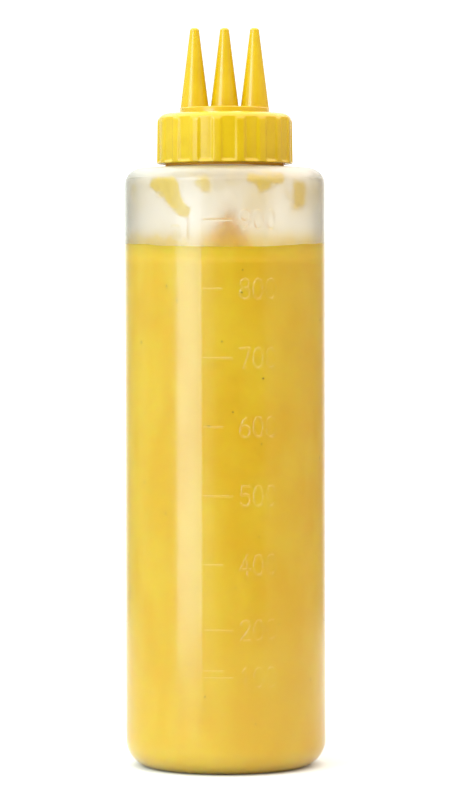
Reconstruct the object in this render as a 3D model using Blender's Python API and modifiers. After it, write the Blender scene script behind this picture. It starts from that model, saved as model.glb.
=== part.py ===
"""Triple-tip squeeze bottle: a blow-moulded bottle of yellow sauce under a ribbed screw cap.

The frame: +Z runs up the bottle's axis, the origin is the middle of the base ring's plane,
+X runs along the row of tips and -Y is the front, where the volume scale faces.
Sizes are in metres; MM turns millimetres into metres.
"""

import math

import bmesh
import bpy

MM = 0.001
GAP = 0.3 * MM  # clearance kept between touching pieces

# Bottle, blow-moulded in soft polyethylene
BODY_RADIUS = 37.5 * MM
WALL = 1.0 * MM
SHOULDER_CORNER = 6.2 * MM
SHOULDER_SLOPE = math.radians(4.0)
SHOULDER_TOP = 224.5 * MM  # height of the shoulder where the neck rises from it
BASE_CORNER = 9.5 * MM
BASE_RING_INNER = 24.5 * MM  # the bottle stands on the flat ring outside this radius
BASE_RING_OUTER = BODY_RADIUS - BASE_CORNER
PUSH_UP = 1.8 * MM  # height of the dome pressed into the base
BASE_THICKNESS = 1.2 * MM
NECK_RADIUS = 22.0 * MM
NECK_BORE = 20.4 * MM
NECK_TOP = 242.7 * MM
NECK_ROOT_FILLET = 0.5 * MM
LIP_CHAMFER = 0.4 * MM
BOTTLE_STEPS = 48
DOME_SHARES = (1.0, 0.8, 0.5)  # of the ring's inner radius, for the base dome's points

# Cap, injection-moulded in one piece with its tips
CAP_BOTTOM = 226.0 * MM
CAP_TOP = 244.8 * MM
CAP_PLATE = 1.8 * MM
CAP_BORE = 23.2 * MM
CAP_CORNER = 3.5 * MM
SKIRT_TOP_RADIUS = 25.27 * MM  # over the ribs, under the corner
RIM_RADIUS = 25.5 * MM
RIM_HEIGHT = 1.3 * MM
RIM_ROUND = 0.4 * MM
RIM_CHAMFER = 0.8 * MM
VALLEY_RADIUS = 24.8 * MM  # upright floor of the valleys, which run out in the corner
RIB_COUNT = 18
RIB_FIRST = math.radians(-6.4)  # middle of the first rib, turned from the front towards +X
RIB_TOP_HALF = math.radians(3.6)
RIB_FOOT_HALF = math.radians(5.0)

# Platform and tips
PLATFORM_RADIUS = 16.6 * MM
PLATFORM_TOP = 247.0 * MM
PLATFORM_ROUND = 0.3 * MM
TIP_SPACING = 11.24 * MM
TIP_TOP = 277.0 * MM
TIP_BASE_RADIUS = 5.33 * MM  # at the platform's top
TIP_TAPER = 0.124  # radius lost for each unit of height
TIP_ROUND = 1.1 * MM
OUTLET_RADIUS = 0.5 * MM
BORE_BASE_RADIUS = 4.3 * MM  # at the plate's underside
TIP_STEPS = 24
TIP_NAMES = ("left", "centre", "right")

# Sauce
FILL_LEVEL = 195.5 * MM
MENISCUS = 0.5 * MM
MOUND_HEIGHT = 12.8 * MM
MOUND_RADIUS = 13.5 * MM
MOUND_POWER = 1.25
MOUND_OFFSET = 2.6 * MM  # along +X from the bottle's axis
SAUCE_RINGS = (1.0, 2.6, 5.0, 8.0, 11.0, 14.5, 22.0, 30.0, 35.0)  # radii in mm

COLLECTION = "squeeze_bottle"


def arc(centre, radius, start, end, count):
    """Points on an arc in the (radius, height) plane, both ends included, angles in degrees."""
    step = (end - start) / count
    angles = [math.radians(start + step * i) for i in range(count + 1)]
    return [
        (centre[0] + radius * math.cos(a), centre[1] + radius * math.sin(a)) for a in angles
    ]


def clear_scene():
    """Removes the scene's objects, so that the script starts from nothing."""
    for obj in list(bpy.data.objects):
        bpy.data.objects.remove(obj, do_unlink=True)


def make_collection(name, shown):
    """A new collection in the scene. A cutter's collection isn't shown."""
    collection = bpy.data.collections.new(name)
    collection.hide_render = not shown
    bpy.context.scene.collection.children.link(collection)
    return collection


def make_material(name, colour, roughness, transmission=0.0):
    """A Principled material."""
    material = bpy.data.materials.new(name)
    material.use_nodes = True
    shader = material.node_tree.nodes["Principled BSDF"]
    shader.inputs["Base Color"].default_value = (*colour, 1.0)
    shader.inputs["Roughness"].default_value = roughness
    shader.inputs["Transmission Weight"].default_value = transmission
    return material


def turned(name, profile, steps, collection, material=None, location=(0.0, 0.0, 0.0)):
    """An object turned from a profile of (radius, height) points that runs down its outer side."""
    mesh = bpy.data.meshes.new(name)
    edges = [(i, i + 1) for i in range(len(profile) - 1)]
    mesh.from_pydata([(r, 0.0, z) for r, z in profile], edges, [])
    obj = bpy.data.objects.new(name, mesh)
    obj.location = location
    collection.objects.link(obj)
    screw = obj.modifiers.new("turn", "SCREW")
    screw.axis = "Z"
    screw.steps = screw.render_steps = steps
    screw.use_merge_vertices = True
    screw.merge_threshold = 0.00001
    screw.use_smooth_shade = True
    if material:
        mesh.materials.append(material)
    return obj


def as_mesh(obj, flat_ends=False):
    """Turns an object's modifiers into its own mesh, closed at the axis and facing out.

    With flat_ends, each fan of triangles round the axis becomes one flat face.
    """
    graph = bpy.context.evaluated_depsgraph_get()
    mesh = bpy.data.meshes.new_from_object(obj.evaluated_get(graph))
    obj.modifiers.clear()
    obj.data = mesh
    work = bmesh.new()
    work.from_mesh(mesh)
    bmesh.ops.remove_doubles(work, verts=work.verts, dist=0.00001)
    if flat_ends:
        on_axis = [vertex for vertex in work.verts if vertex.co.xy.length < 0.1 * GAP]
        bmesh.ops.dissolve_verts(work, verts=on_axis)
    bmesh.ops.recalc_face_normals(work, faces=work.faces)
    work.to_mesh(mesh)
    work.free()
    return mesh


def dome_height(radius):
    """Height of the base's underside inside the standing ring."""
    return PUSH_UP * (1.0 - (radius / BASE_RING_INNER) ** 2)


def shoulder_centre():
    """Centre of the shoulder corner's arc, which the shoulder's slope meets without a step."""
    radius = BODY_RADIUS - SHOULDER_CORNER
    slope_end = radius + SHOULDER_CORNER * math.sin(SHOULDER_SLOPE)
    run = slope_end - NECK_RADIUS - NECK_ROOT_FILLET
    drop = run * math.tan(SHOULDER_SLOPE) + SHOULDER_CORNER * math.cos(SHOULDER_SLOPE)
    return (radius, SHOULDER_TOP - drop)


def bottle_profile():
    """The bottle's section, from the middle of its floor up the inside and down the outside."""
    start = 90.0 - math.degrees(SHOULDER_SLOPE)
    centre = shoulder_centre()
    base_centre = (BASE_RING_OUTER, BASE_CORNER)
    dome = [BASE_RING_INNER * share for share in DOME_SHARES]

    inside = [(0.0, PUSH_UP + BASE_THICKNESS)]
    inside += [(r, dome_height(r) + BASE_THICKNESS) for r in reversed(dome)]
    inside += arc(base_centre, BASE_CORNER - WALL, -90.0, 0.0, 5)
    inside += arc(centre, SHOULDER_CORNER - WALL, 0.0, start, 5)
    root_run = inside[-1][0] - NECK_BORE - NECK_ROOT_FILLET
    root = inside[-1][1] + root_run * math.tan(SHOULDER_SLOPE)
    inside += [(NECK_BORE + NECK_ROOT_FILLET, root), (NECK_BORE, root + NECK_ROOT_FILLET)]
    inside += [(NECK_BORE, NECK_TOP)]

    outside = [(NECK_RADIUS - LIP_CHAMFER, NECK_TOP), (NECK_RADIUS, NECK_TOP - LIP_CHAMFER)]
    outside += [(NECK_RADIUS, SHOULDER_TOP + NECK_ROOT_FILLET)]
    outside += [(NECK_RADIUS + NECK_ROOT_FILLET, SHOULDER_TOP)]
    outside += arc(centre, SHOULDER_CORNER, start, 0.0, 6)
    outside += arc(base_centre, BASE_CORNER, 0.0, -90.0, 6)
    outside += [(r, dome_height(r)) for r in dome]
    outside += [(0.0, PUSH_UP)]
    return inside + outside


def build_bottle(collection):
    """The translucent bottle: one hollow shell, open at the neck."""
    plastic = make_material("soft_polyethylene", (0.86, 0.84, 0.78), 0.35, transmission=0.8)
    return turned("bottle", bottle_profile(), BOTTLE_STEPS, collection, plastic)


def cap_profile():
    """The cap's section over its ribs, from the platform down the outside and up the inside."""
    corner = (SKIRT_TOP_RADIUS - CAP_CORNER, CAP_TOP - CAP_CORNER)
    rim_top = CAP_BOTTOM + RIM_HEIGHT
    under = CAP_TOP - CAP_PLATE
    top = [(0.0, PLATFORM_TOP), (PLATFORM_RADIUS - PLATFORM_ROUND, PLATFORM_TOP)]
    top += [(PLATFORM_RADIUS, PLATFORM_TOP - PLATFORM_ROUND), (PLATFORM_RADIUS, CAP_TOP)]
    top += arc(corner, CAP_CORNER, 90.0, 0.0, 6)
    rim = [(RIM_RADIUS, rim_top + RIM_ROUND), (RIM_RADIUS, rim_top)]
    rim += [(RIM_RADIUS, CAP_BOTTOM + RIM_CHAMFER), (RIM_RADIUS - RIM_CHAMFER, CAP_BOTTOM)]
    inside = [(CAP_BORE, CAP_BOTTOM), (CAP_BORE, under - RIM_ROUND)]
    inside += [(CAP_BORE - RIM_ROUND, under), (0.0, under)]
    return top + rim + inside


def cut_valleys(mesh):
    """Turns the cap to its first rib, gathers the skirt's columns of points and sinks the valleys.

    Each rib takes four columns: a foot and a top edge on either side of its middle. Inside the
    skirt the columns stay evenly spread.
    """
    gathered = (-RIB_FOOT_HALF, -RIB_TOP_HALF, RIB_TOP_HALF, RIB_FOOT_HALF)
    pitch = 2.0 * math.pi / RIB_COUNT
    step = pitch / len(gathered)
    even = [(edge - 1.5) * step for edge in range(len(gathered))]
    valley_foot = CAP_BOTTOM + RIM_HEIGHT + 0.5 * RIM_ROUND
    for vertex in mesh.vertices:
        x, y, z = vertex.co
        radius = math.hypot(x, y)
        rib, edge = divmod(round(math.atan2(y, x) / step), len(gathered))
        turns = gathered if radius > PLATFORM_RADIUS + GAP else even
        angle = RIB_FIRST - math.pi / 2.0 + rib * pitch + turns[edge]
        if abs(turns[edge]) == RIB_FOOT_HALF and z > valley_foot:
            radius = min(radius, VALLEY_RADIUS)
        vertex.co = (radius * math.cos(angle), radius * math.sin(angle), z)


def tip_profile():
    """The outside of one tip: a cone with a rounded end, rooted inside the platform."""
    foot = CAP_TOP - 0.5 * CAP_PLATE
    shoulder = TIP_TOP - TIP_ROUND
    shoulder_radius = TIP_BASE_RADIUS - TIP_TAPER * (shoulder - PLATFORM_TOP)
    rounding = arc((shoulder_radius - TIP_ROUND, shoulder), TIP_ROUND, 90.0, 0.0, 4)
    base = [(TIP_BASE_RADIUS, PLATFORM_TOP), (TIP_BASE_RADIUS, foot), (0.0, foot)]
    return [(0.0, TIP_TOP)] + rounding + base


def bore_profile():
    """The hollow of one tip, from below the plate to above the outlet."""
    under = CAP_TOP - CAP_PLATE
    slope = (BORE_BASE_RADIUS - OUTLET_RADIUS) / (TIP_TOP - under)
    past = 1.0 * MM
    top_radius = OUTLET_RADIUS - slope * past
    foot_radius = BORE_BASE_RADIUS + slope * past
    top, foot = TIP_TOP + past, under - past
    return [(0.0, top), (top_radius, top), (foot_radius, foot), (0.0, foot)]


def make_tool(name, profile, place, cutters):
    """A turned solid for a Boolean, which the model itself doesn't show."""
    tool = turned(name, profile, TIP_STEPS, cutters, location=(place, 0.0, 0.0))
    as_mesh(tool, flat_ends=True)
    tool.hide_render = True
    tool.display_type = "WIRE"
    return tool


def combine(target, tool, operation):
    """Adds a Boolean modifier to target."""
    modifier = target.modifiers.new(f"{operation.lower()}_{tool.name}", "BOOLEAN")
    modifier.operation = operation
    modifier.solver = "EXACT"
    modifier.object = tool


def build_cap(collection, cutters):
    """The yellow cap: ribbed skirt, platform and hollow tips, all one moulding."""
    plastic = make_material("yellow_polypropylene", (0.90, 0.62, 0.02), 0.3)
    cap = turned("cap", cap_profile(), RIB_COUNT * 4, collection)
    cut_valleys(as_mesh(cap, flat_ends=True))
    places = {name: (index - 1) * TIP_SPACING for index, name in enumerate(TIP_NAMES)}
    for name, place in places.items():
        combine(cap, make_tool(f"tip_{name}", tip_profile(), place, cutters), "UNION")
    for name, place in places.items():
        combine(cap, make_tool(f"bore_{name}", bore_profile(), place, cutters), "DIFFERENCE")
    cap.data.materials.append(plastic)
    return cap


def sauce_profile():
    """The sauce's section with a flat top, clear of the bottle's wall by GAP."""
    outer = BODY_RADIUS - WALL - GAP
    corner = BASE_CORNER - WALL - GAP
    top = [(0.0, FILL_LEVEL)] + [(r * MM, FILL_LEVEL) for r in SAUCE_RINGS]
    top += [(outer, FILL_LEVEL + MENISCUS)]
    floor = [BASE_RING_INNER * share for share in DOME_SHARES]
    lift = BASE_THICKNESS + GAP
    side = arc((BASE_RING_OUTER, BASE_CORNER), corner, 0.0, -90.0, 5)
    return top + side + [(r, dome_height(r) + lift) for r in floor] + [(0.0, PUSH_UP + lift)]


def raise_mound(mesh):
    """Pulls the middle of the sauce's surface up into the peak left by the last pour."""
    outer = BODY_RADIUS - WALL - GAP
    for vertex in mesh.vertices:
        x, y, z = vertex.co
        if abs(z - FILL_LEVEL) > GAP:
            continue
        radius = math.hypot(x, y)
        share = max(0.0, 1.0 - radius / MOUND_RADIUS)
        vertex.co.x = x + MOUND_OFFSET * (1.0 - radius / outer)
        vertex.co.z = z + MOUND_HEIGHT * share**MOUND_POWER


def build_sauce(collection):
    """The mustard-yellow sauce, solid up to its level, with a peak in the middle."""
    food = make_material("mustard_sauce", (0.83, 0.55, 0.06), 0.4)
    sauce = turned("sauce", sauce_profile(), BOTTLE_STEPS, collection)
    raise_mound(as_mesh(sauce))
    sauce.data.materials.append(food)
    return sauce


def main():
    """Builds the bottle, the cap and the sauce."""
    clear_scene()
    collection = make_collection(COLLECTION, shown=True)
    cutters = make_collection(f"{COLLECTION}_cutters", shown=False)
    build_bottle(collection)
    build_cap(collection, cutters)
    build_sauce(collection)


main()
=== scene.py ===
"""Looks of a triple-tip squeeze bottle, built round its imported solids.

The bottle is blown from soft polyethylene and shows a mustard sauce through its milky wall. It
carries a raised volume scale. A yellow polypropylene cap with panels between its grip ribs holds
three cone tips in a row. Lengths are in metres, and MM turns millimetres into metres. An azimuth
runs from the front, -Y, towards +X.
"""

import logging
import math
import random
from collections.abc import Callable, Mapping, Sequence
from dataclasses import dataclass
from enum import Enum
from functools import partial

import bpy
import numpy as np
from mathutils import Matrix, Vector, noise


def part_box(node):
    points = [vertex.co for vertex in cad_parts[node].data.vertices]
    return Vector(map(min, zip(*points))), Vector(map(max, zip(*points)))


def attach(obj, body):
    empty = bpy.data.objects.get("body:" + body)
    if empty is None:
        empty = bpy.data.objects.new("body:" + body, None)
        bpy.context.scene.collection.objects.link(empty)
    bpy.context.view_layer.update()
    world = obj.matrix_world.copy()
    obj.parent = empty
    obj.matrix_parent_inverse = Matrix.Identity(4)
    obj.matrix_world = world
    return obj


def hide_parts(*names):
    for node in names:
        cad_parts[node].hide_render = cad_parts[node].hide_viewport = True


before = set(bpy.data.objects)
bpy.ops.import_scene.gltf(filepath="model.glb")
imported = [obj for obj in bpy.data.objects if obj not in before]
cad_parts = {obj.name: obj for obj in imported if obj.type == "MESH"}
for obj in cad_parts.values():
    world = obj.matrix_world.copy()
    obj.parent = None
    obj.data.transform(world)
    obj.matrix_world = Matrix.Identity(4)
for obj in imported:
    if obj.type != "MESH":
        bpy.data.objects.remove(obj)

MM = 0.001
ROOT = "root"
WELD = 0.001 * MM  # points closer than this are one point
FULL_TURN = 2.0 * math.pi
LOG = logging.getLogger("squeeze_bottle")

Point = tuple[float, float]
Socket = bpy.types.NodeSocket
Settings = Mapping[str | int | tuple[str | int, ...], object]

FROM, TO = ("From Min", "From Max"), ("To Min", "To Max")  # inputs of a node that maps a range
SMOOTH = {"interpolation_type": "SMOOTHSTEP"}  # it eases in and out
BLEND = {"data_type": "RGBA"}  # a mix of colours
ENDS, BLENDED = (6, 7), 2  # the inputs for its two colours, and its output
GRAIN = {"Roughness": 0.55}  # how much a noise's finer octaves weigh
MULTIPLY, ADD = {"operation": "MULTIPLY"}, {"operation": "ADD"}


class Slot(Enum):
    """The record's material slots."""

    BOTTLE = "bottle"
    CAP = "cap"
    SAUCE = "sauce"


class Tick(Enum):
    """Lengths of the scale's marks, in metres along the wall."""

    SHORT = 6.5 * MM
    LONG = 10.1 * MM


# ---- Shapes ----


def arc(
    centre: Point, radii: float | Point, start: float, end: float, count: int
) -> list[Point]:
    """Points on a round or elliptical arc, both ends included.

    Args:
        centre: The arc's centre.
        radii: Its radius, or its two half axes.
        start: First angle in degrees, counted from the first axis.
        end: Last angle in degrees.
        count: Number of segments.

    Returns:
        The points in order.
    """
    across, up = radii if isinstance(radii, tuple) else (radii, radii)
    angles = np.radians(np.linspace(start, end, count + 1))
    return [(centre[0] + across * math.cos(a), centre[1] + up * math.sin(a)) for a in angles]


def straight(start: Point, end: Point, count: int) -> list[Point]:
    """Points at even steps on a straight line, both ends included.

    Args:
        start: The line's start.
        end: Its end.
        count: Number of steps.

    Returns:
        The points in order.
    """
    return [(float(x), float(y)) for x, y in np.linspace(start, end, count + 1)]


def beside(
    places: np.ndarray, start: np.ndarray, end: np.ndarray
) -> tuple[np.ndarray, np.ndarray]:
    """Measures how places lie beside a straight line.

    Args:
        places: One (x, y) row per place.
        start: The line's start.
        end: Its end.

    Returns:
        The share of the line at which each place is nearest to it, and the gap there.
    """
    offset, run = places - start, end - start
    share = np.clip(offset @ run / (run @ run), 0.0, 1.0)
    return share, np.linalg.norm(offset - share[:, None] * run, axis=1)


def spot(radius: float, azimuth: float, height: float) -> Vector:
    """A place in the frame.

    Args:
        radius: Distance from the bottle's axis.
        azimuth: Angle in radians from the front towards +X.
        height: Height above the floor.

    Returns:
        The place as a vector.
    """
    return Vector((radius * math.sin(azimuth), -radius * math.cos(azimuth), height))


def smooth_step(low: float, high: float, value: np.ndarray | float) -> np.ndarray | float:
    """Rises smoothly from 0 at low to 1 at high.

    Args:
        low: Where the rise starts.
        high: Where it ends.
        value: One value or an array of them.

    Returns:
        The share or shares, between 0 and 1.
    """
    share = np.clip((value - low) / (high - low), 0.0, 1.0)
    return share * share * (3.0 - 2.0 * share)


def choose(*objects: bpy.types.Object) -> None:
    """Makes objects the only selected ones, and the first of them active.

    Args:
        *objects: The objects.
    """
    bpy.ops.object.select_all(action="DESELECT")
    for obj in objects:
        obj.select_set(True)
    bpy.context.view_layer.objects.active = objects[0]


def edit(obj: bpy.types.Object) -> None:
    """Makes obj the only selected object and opens it in edit mode with nothing selected.

    Args:
        obj: A mesh object.
    """
    choose(obj)
    bpy.ops.object.mode_set(mode="EDIT")
    bpy.ops.mesh.select_all(action="DESELECT")


def leave_edit() -> None:
    """Goes back to object mode."""
    bpy.ops.object.mode_set(mode="OBJECT")


def apply_modifier(obj: bpy.types.Object, kind: str, **settings: object) -> None:
    """Adds a modifier with its settings and applies it at once.

    Args:
        obj: The object to change.
        kind: Blender's name of the modifier type.
        **settings: The modifier's settings by name.
    """
    modifier = obj.modifiers.new(kind.lower(), kind)
    for name, value in settings.items():
        setattr(modifier, name, value)
    choose(obj)
    bpy.ops.object.modifier_apply(modifier=modifier.name)


def draw_outline(name: str, outline: Sequence[Point], azimuth: float) -> bpy.types.Object:
    """Draws an open outline by extruding one vertex from point to point.

    Args:
        name: Name of the new object.
        outline: (radius, height) points.
        azimuth: Where round the axis the outline stands, in radians.

    Returns:
        The object, in edit mode with all of the outline selected.
    """
    places = [spot(radius, azimuth, height) for radius, height in outline]
    bpy.ops.object.select_all(action="DESELECT")
    bpy.ops.mesh.primitive_plane_add(size=MM, location=(0.0, 0.0, 0.0))
    obj = bpy.context.object
    obj.name = obj.data.name = name
    edit(obj)
    bpy.ops.mesh.select_all(action="SELECT")
    bpy.ops.mesh.merge(type="CENTER")
    bpy.ops.transform.translate(value=places[0])
    for last, place in zip(places, places[1:], strict=False):
        bpy.ops.mesh.extrude_region_move(TRANSFORM_OT_translate={"value": place - last})
    bpy.ops.mesh.select_all(action="SELECT")
    return obj


def turn(
    name: str,
    outline: Sequence[Point],
    sectors: Sequence[tuple[float, int]],
    azimuth: float = 0.0,
) -> bpy.types.Object:
    """Turns an outline round the axis, into a solid if it starts and ends there.

    Args:
        name: Name of the new object.
        outline: (radius, height) points.
        sectors: (angle in radians, steps) of each stretch of the turn, which add up to a circle.
        azimuth: Where the turn starts.

    Returns:
        The object in object mode, smooth, with its faces pointing outwards.
    """
    obj = draw_outline(name, outline, azimuth)
    for angle, steps in sectors:
        # Spin turns clockwise seen from above, so the azimuth grows with a negative angle.
        bpy.ops.mesh.spin(
            steps=steps, angle=-angle, center=(0.0, 0.0, 0.0), axis=(0.0, 0.0, 1.0)
        )
    bpy.ops.mesh.select_all(action="SELECT")
    bpy.ops.mesh.remove_doubles(threshold=WELD)
    bpy.ops.mesh.normals_make_consistent(inside=False)
    leave_edit()
    bpy.ops.object.shade_smooth()
    return obj


def cylindrical(obj: bpy.types.Object) -> tuple[np.ndarray, np.ndarray, np.ndarray]:
    """Where an object's points lie round the axis.

    Args:
        obj: A mesh object.

    Returns:
        Radii, azimuths in radians and heights, one each per point.
    """
    flat = np.empty(3 * len(obj.data.vertices))
    obj.data.vertices.foreach_get("co", flat)
    x, y, z = flat.reshape(-1, 3).T
    return np.hypot(x, y), np.arctan2(x, -y), z


def place_points(
    obj: bpy.types.Object, radius: np.ndarray, azimuth: np.ndarray, height: np.ndarray
) -> None:
    """Moves an object's points.

    Args:
        obj: A mesh object.
        radius: New distance of each point from the axis.
        azimuth: New azimuth of each point, in radians.
        height: New height of each point.
    """
    places = np.stack([radius * np.sin(azimuth), -radius * np.cos(azimuth), height], axis=1)
    obj.data.vertices.foreach_set("co", places.ravel())
    obj.data.update()


def weigh(obj: bpy.types.Object, name: str, weights: np.ndarray) -> None:
    """Writes a vertex group, leaving out points with no weight.

    Args:
        obj: A mesh object.
        name: The group's name.
        weights: One weight per point.
    """
    group = obj.vertex_groups.new(name=name)
    for index in np.flatnonzero(weights > 0.0):
        group.add([int(index)], float(weights[index]), "REPLACE")


def join(name: str, pieces: Sequence[bpy.types.Object]) -> bpy.types.Object:
    """Joins objects into one.

    Args:
        name: Name of the joined object.
        pieces: The objects, at least two.

    Returns:
        The joined object.
    """
    choose(*pieces)
    bpy.ops.object.join()
    pieces[0].name = pieces[0].data.name = name
    return pieces[0]


def discard(obj: bpy.types.Object) -> None:
    """Removes a helper object with its mesh.

    Args:
        obj: The helper object.
    """
    mesh = obj.data
    bpy.data.objects.remove(obj)
    bpy.data.meshes.remove(mesh)


def copy_of(obj: bpy.types.Object, shift: Vector) -> bpy.types.Object:
    """A copy with its own mesh, moved in the mesh itself.

    Args:
        obj: The object to copy.
        shift: How far the copy lies from it.

    Returns:
        The copy.
    """
    twin = obj.copy()
    twin.data = obj.data.copy()
    bpy.context.collection.objects.link(twin)
    edit(twin)
    bpy.ops.mesh.select_all(action="SELECT")
    bpy.ops.transform.translate(value=shift)
    leave_edit()
    return twin


# ---- Materials ----


def linear(colour: str) -> tuple[float, float, float, float]:
    """Turns an sRGB hex colour into the linear one that Blender's sockets take.

    Args:
        colour: Such as "#F2C814".

    Returns:
        Red, green, blue and an alpha of 1.
    """
    shares = [int(colour[at : at + 2], 16) / 255.0 for at in (1, 3, 5)]
    red, green, blue = (
        share / 12.92 if share <= 0.04045 else ((share + 0.055) / 1.055) ** 2.4
        for share in shares
    )
    return (red, green, blue, 1.0)


def add_node(
    tree: bpy.types.NodeTree,
    kind: str,
    settings: Settings | None = None,
    links: Mapping[str | int, Socket] | None = None,
    output: str | int = 0,
) -> Socket | None:
    """Adds a node with its settings and links.

    Args:
        tree: The tree that gets the node.
        kind: The node's type, without the leading "ShaderNode".
        settings: Values by property name, input name or input number, or by a tuple of
            those with one value each. A hex colour is turned to a linear one.
        links: The output that feeds each input, by input name or number.
        output: Name or number of the output to return.

    Returns:
        That output, or None for a node that has no outputs.
    """
    node = tree.nodes.new(f"ShaderNode{kind}")
    for names, values in (settings or {}).items():
        pairs = zip(names, values, strict=True) if isinstance(names, tuple) else [(names, values)]
        for name, value in pairs:
            if isinstance(name, str) and hasattr(node, name):
                setattr(node, name, value)
            else:
                hexadecimal = isinstance(value, str)
                node.inputs[name].default_value = linear(value) if hexadecimal else value
    for name, source in (links or {}).items():
        tree.links.new(source, node.inputs[name])
    return node.outputs[output] if node.outputs else None


def start_material(name: str) -> tuple[bpy.types.Material, Callable[..., Socket], Socket]:
    """A new material with an empty tree.

    Args:
        name: The material's name.

    Returns:
        The material, add_node for its tree and the output with the position on the piece.
    """
    material = bpy.data.materials.new(name)
    material.use_nodes = True
    material.node_tree.nodes.clear()
    add = partial(add_node, material.node_tree)
    return material, add, add("TexCoord", output="Object")


@dataclass(frozen=True)
class BlownPolyethylene:
    """Low-density polyethylene, blown against a fine-blasted mould.

    The eye gets a milky, faintly warm wall: sharp where the sauce wets it, soft further in,
    with a broad satin highlight.
    """

    clear: str = "#FAF7F2"
    stained: str = "#F6E8B8"  # where a film of sauce clings to the inside
    stain_rise: float = 9.0 * MM  # height over the sauce up to which it does
    streak_size: float = 14.0 * MM
    streak_shape: tuple[float, float, float] = (1.0, 1.0, 0.45)  # drawn out by running down
    streak_contrast: Point = (0.38, 0.62)
    streak_cover: Point = (0.15, 1.0)
    transmission: float = 1.0
    ior: float = 1.51
    satin: Point = (0.17, 0.20)  # least and most roughness of the outside
    inner_roughness: float = 0.36  # dry inside, which blurs what lies further in
    wet_run: float = 2.0 * MM  # height below the level over which the inside turns wet
    wave_size: float = 22.0 * MM  # thick and thin places left by the blowing
    wave_contrast: Point = (0.3, 0.7)
    wave_height: float = 0.05 * MM
    blast_size: float = 0.7 * MM  # blasting grit, drawn coarser than its true 0.1 mm to show
    blast_height: float = 0.006 * MM

    def build(self, level: float, inside: float, outside: float) -> bpy.types.Material:
        """Makes the material.

        Args:
            level: Height of the sauce.
            inside: Radius of the wall's inside.
            outside: Radius of its outside.

        Returns:
            The material.
        """
        material, add, place = start_material("blown_polyethylene")
        height = add("SeparateXYZ", links={0: place}, output="Z")
        stained = {**SMOOTH, FROM: (level, level + self.stain_rise), TO: (1.0, 0.0)}
        film = add("MapRange", stained, {0: height})
        drawn_out = add("Mapping", {"Scale": self.streak_shape}, {0: place})
        streaks = add("TexNoise", {**GRAIN, "Scale": 1.0 / self.streak_size}, {0: drawn_out})
        patches = add("MapRange", {FROM: self.streak_contrast, TO: self.streak_cover}, {0: streaks})
        stain = add("Math", MULTIPLY, {0: film, 1: patches})
        coarse = {**GRAIN, "Scale": 1.0 / self.wave_size, "Detail": 1.0}
        waves = add("TexNoise", coarse, {0: place})
        blast = add("TexNoise", {**GRAIN, "Scale": 1.0 / self.blast_size}, {0: place})
        flat = add("VectorMath", {**MULTIPLY, 1: (1.0, 1.0, 0.0)}, {0: place})
        radius = add("VectorMath", {"operation": "LENGTH"}, {0: flat}, "Value")
        inner = add("MapRange", {FROM: (inside, outside), TO: (1.0, 0.0)}, {0: radius})
        above = add("MapRange", {FROM: (level - self.wet_run, level)}, {0: height})
        dry = add("Math", MULTIPLY, {0: inner, 1: above})
        satin = add("MapRange", {FROM: self.wave_contrast, TO: self.satin}, {0: waves})
        wavy = add("Bump", {"Distance": self.wave_height}, {"Height": waves})
        colours = {**BLEND, ENDS: (self.clear, self.stained)}
        links = {
            "Base Color": add("Mix", colours, {0: stain}, BLENDED),
            "Roughness": add("Mix", {3: self.inner_roughness}, {0: dry, 2: satin}),
            "Normal": add(
                "Bump", {"Distance": self.blast_height}, {"Height": blast, "Normal": wavy}
            ),
        }
        settings = {"IOR": self.ior, "Transmission Weight": self.transmission}
        add("OutputMaterial", links={0: add("BsdfPrincipled", settings, links)})
        return material


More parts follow.
